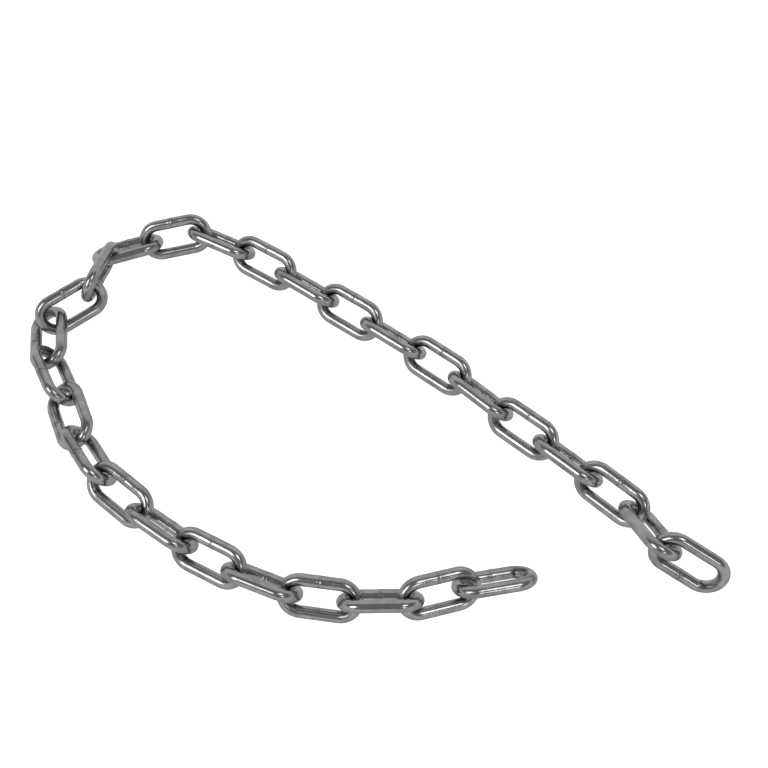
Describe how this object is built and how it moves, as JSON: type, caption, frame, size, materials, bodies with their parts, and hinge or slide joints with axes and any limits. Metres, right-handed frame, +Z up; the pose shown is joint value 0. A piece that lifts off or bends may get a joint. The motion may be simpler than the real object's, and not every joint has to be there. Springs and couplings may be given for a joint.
{
  "type": "welded hand chain",
  "caption": "Loose length of welded round-link hand chain, used to turn the pocket wheel of a garage door operator by hand; open at both ends, each oval link free to swing.",
  "frame": {"origin": "on the ground, under the middle of the chain's box as it lies", "axes": "+X to the right and +Y away from the viewer along the ground, +Z up; the chain lies loose on Z = 0"},
  "size_m": [0.2356, 0.1502, 0.018],
  "materials": {
    "bright_zinc": "bright zinc plate on steel wire, lightly rubbed, darker inside the bows"
  },
  "bodies": {
    "link_01": {"link_01": "bright_zinc"},
    "link_02": {"link_02": "bright_zinc"},
    "link_03": {"link_03": "bright_zinc"},
    "link_04": {"link_04": "bright_zinc"},
    "link_05": {"link_05": "bright_zinc"},
    "link_06": {"link_06": "bright_zinc"},
    "link_07": {"link_07": "bright_zinc"},
    "link_08": {"link_08": "bright_zinc"},
    "link_09": {"link_09": "bright_zinc"},
    "link_10": {"link_10": "bright_zinc"},
    "link_11": {"link_11": "bright_zinc"},
    "link_12": {"link_12": "bright_zinc"},
    "link_13": {"link_13": "bright_zinc"},
    "link_14": {"link_14": "bright_zinc"},
    "link_15": {"link_15": "bright_zinc"},
    "link_16": {"link_16": "bright_zinc"},
    "link_17": {"link_17": "bright_zinc"},
    "link_18": {"link_18": "bright_zinc"},
    "link_19": {"link_19": "bright_zinc"},
    "link_20": {"link_20": "bright_zinc"},
    "link_21": {"link_21": "bright_zinc"},
    "link_22": {"link_22": "bright_zinc"},
    "link_23": {"link_23": "bright_zinc"},
    "link_24": {"link_24": "bright_zinc"},
    "link_25": {"link_25": "bright_zinc"},
    "link_26": {"link_26": "bright_zinc"},
    "link_27": {"link_27": "bright_zinc"},
    "link_28": {"link_28": "bright_zinc"}
  },
  "joints": [
    {"name": "link_13_swing", "type": "hinge", "parent": "link_14", "child": "link_13", "pos_m": [-0.07466, 0.06771, 0.00763], "axis": [-0.0656, 0.8387, -0.5406], "range_deg": [-90, 90]},
    {"name": "link_12_swing", "type": "hinge", "parent": "link_13", "child": "link_12", "pos_m": [-0.05626, 0.07035, 0.01086], "axis": [0.3398, 0.6091, 0.7166], "range_deg": [-55, 100]},
    {"name": "link_11_swing", "type": "hinge", "parent": "link_12", "child": "link_11", "pos_m": [-0.03981, 0.06156, 0.00792], "axis": [0.3753, 0.6682, -0.6424], "range_deg": [-90, 90]},
    {"name": "link_10_swing", "type": "hinge", "parent": "link_11", "child": "link_10", "pos_m": [-0.02389, 0.05112, 0.0081], "axis": [-0.4398, -0.6143, -0.6552], "range_deg": [-90, 90]},
    {"name": "link_09_swing", "type": "hinge", "parent": "link_10", "child": "link_09", "pos_m": [-0.00802, 0.04072, 0.00694], "axis": [-0.3991, -0.613, 0.6819], "range_deg": [-90, 90]},
    {"name": "link_08_swing", "type": "hinge", "parent": "link_09", "child": "link_08", "pos_m": [0.00771, 0.03007, 0.0065], "axis": [0.4547, 0.6303, 0.6292], "range_deg": [-90, 90]},
    {"name": "link_07_swing", "type": "hinge", "parent": "link_08", "child": "link_07", "pos_m": [0.02325, 0.01914, 0.00635], "axis": [-0.4472, -0.5935, 0.6691], "range_deg": [-90, 90]},
    {"name": "link_06_swing", "type": "hinge", "parent": "link_07", "child": "link_06", "pos_m": [0.03838, 0.00765, 0.00616], "axis": [0.506, 0.5755, 0.6424], "range_deg": [-85, 95]},
    {"name": "link_05_swing", "type": "hinge", "parent": "link_06", "child": "link_05", "pos_m": [0.05212, -0.00546, 0.00691], "axis": [0.523, 0.5898, -0.6153], "range_deg": [-90, 90]},
    {"name": "link_04_swing", "type": "hinge", "parent": "link_05", "child": "link_04", "pos_m": [0.06622, -0.01779, 0.00703], "axis": [-0.4941, -0.5855, -0.6427], "range_deg": [-90, 90]},
    {"name": "link_03_swing", "type": "hinge", "parent": "link_04", "child": "link_03", "pos_m": [0.07996, -0.02979, 0.00719], "axis": [-0.5299, -0.6248, 0.5735], "range_deg": [-90, 90]},
    {"name": "link_02_swing", "type": "hinge", "parent": "link_03", "child": "link_02", "pos_m": [0.09319, -0.04163, 0.00649], "axis": [-0.4841, -0.5326, -0.6943], "range_deg": [-115, 50]},
    {"name": "link_01_swing", "type": "hinge", "parent": "link_02", "child": "link_01", "pos_m": [0.09824, -0.05694, 0.01397], "axis": [0.2391, 0.83, -0.504], "range_deg": [-40, 10]},
    {"name": "link_15_swing", "type": "hinge", "parent": "link_14", "child": "link_15", "pos_m": [-0.09691, 0.06133, 0.00601], "axis": [-0.2017, 0.8339, -0.5138], "range_deg": [-30, 0]},
    {"name": "link_16_swing", "type": "hinge", "parent": "link_15", "child": "link_16", "pos_m": [-0.09627, 0.04148, 0.01169], "axis": [0.4084, -0.7126, 0.5704], "range_deg": [-10, 45]},
    {"name": "link_17_swing", "type": "hinge", "parent": "link_16", "child": "link_17", "pos_m": [-0.1122, 0.03239, 0.00601], "axis": [0.4019, -0.0199, -0.9155], "range_deg": [-5, 120]},
    {"name": "link_18_swing", "type": "hinge", "parent": "link_17", "child": "link_18", "pos_m": [-0.10733, 0.01545, 0.00609], "axis": [-0.7197, -0.4315, -0.5439], "range_deg": [-75, 105]},
    {"name": "link_19_swing", "type": "hinge", "parent": "link_18", "child": "link_19", "pos_m": [-0.09811, -0.00002, 0.00762], "axis": [0.4691, 0.1091, -0.8764], "range_deg": [-5, 90]},
    {"name": "link_20_swing", "type": "hinge", "parent": "link_19", "child": "link_20", "pos_m": [-0.0911, -0.01589, 0.00834], "axis": [0.675, 0.5443, 0.4981], "range_deg": [-95, 85]},
    {"name": "link_21_swing", "type": "hinge", "parent": "link_20", "child": "link_21", "pos_m": [-0.08019, -0.03013, 0.00889], "axis": [-0.3768, -0.5043, 0.777], "range_deg": [-100, 80]},
    {"name": "link_22_swing", "type": "hinge", "parent": "link_21", "child": "link_22", "pos_m": [-0.0659, -0.04172, 0.00743], "axis": [-0.4793, -0.7106, -0.515], "range_deg": [-90, 90]},
    {"name": "link_23_swing", "type": "hinge", "parent": "link_22", "child": "link_23", "pos_m": [-0.05056, -0.05249, 0.0075], "axis": [0.3377, 0.6075, -0.7189], "range_deg": [-85, 95]},
    {"name": "link_24_swing", "type": "hinge", "parent": "link_23", "child": "link_24", "pos_m": [-0.03399, -0.06118, 0.00801], "axis": [0.3156, 0.797, 0.515], "range_deg": [-95, 85]},
    {"name": "link_25_swing", "type": "hinge", "parent": "link_24", "child": "link_25", "pos_m": [-0.01639, -0.06769, 0.0073], "axis": [0.1136, 0.7226, -0.6819], "range_deg": [-80, 100]},
    {"name": "link_26_swing", "type": "hinge", "parent": "link_25", "child": "link_26", "pos_m": [0.0022, -0.07004, 0.0069], "axis": [0.0285, -0.8387, -0.5439], "range_deg": [-85, 95]},
    {"name": "link_27_swing", "type": "hinge", "parent": "link_26", "child": "link_27", "pos_m": [0.02095, -0.06948, 0.00812], "axis": [-0.2506, 0.7142, -0.6536], "range_deg": [-85, 95]},
    {"name": "link_28_swing", "type": "hinge", "parent": "link_27", "child": "link_28", "pos_m": [0.03862, -0.06411, 0.00625], "axis": [0.1157, -0.7798, -0.6153], "range_deg": [-95, 85]}
  ]
}
